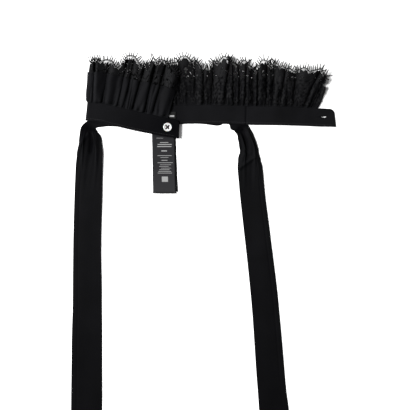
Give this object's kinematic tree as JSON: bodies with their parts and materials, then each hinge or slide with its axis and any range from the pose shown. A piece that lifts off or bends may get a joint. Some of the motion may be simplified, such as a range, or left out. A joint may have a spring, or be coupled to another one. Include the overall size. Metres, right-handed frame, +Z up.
{
  "type": "ruffled collar",
  "caption": "Detachable stand collar laid flat with its button end folded over, a gathered cloth frill, a scalloped lace frill behind it and a long ribbon that leaves it as two ties",
  "frame": {"origin": "the middle of the footprint of the collar as it lies, on the surface under it", "axes": "+Z up, away from the surface; +Y from the ties' ends towards the frill; +X towards the buttonhole end"},
  "size_m": [0.3182, 0.4344, 0.0156],
  "materials": {
    "collar_cloth": "matte black woven cloth",
    "lace": "black net lace with corded flowers",
    "ribbon_cloth": "matte black woven cloth",
    "label_satin": "black satin",
    "button_plastic": "polished white"
  },
  "bodies": {
    "root": {"stand_band": "collar_cloth", "cloth_frill": "collar_cloth", "lace_frill": "lace", "tie_ribbon": "ribbon_cloth", "care_label_top_leaf": "label_satin", "care_label_under_leaf": "label_satin", "neck_label": "label_satin", "button": "button_plastic"}
  },
  "joints": []
}
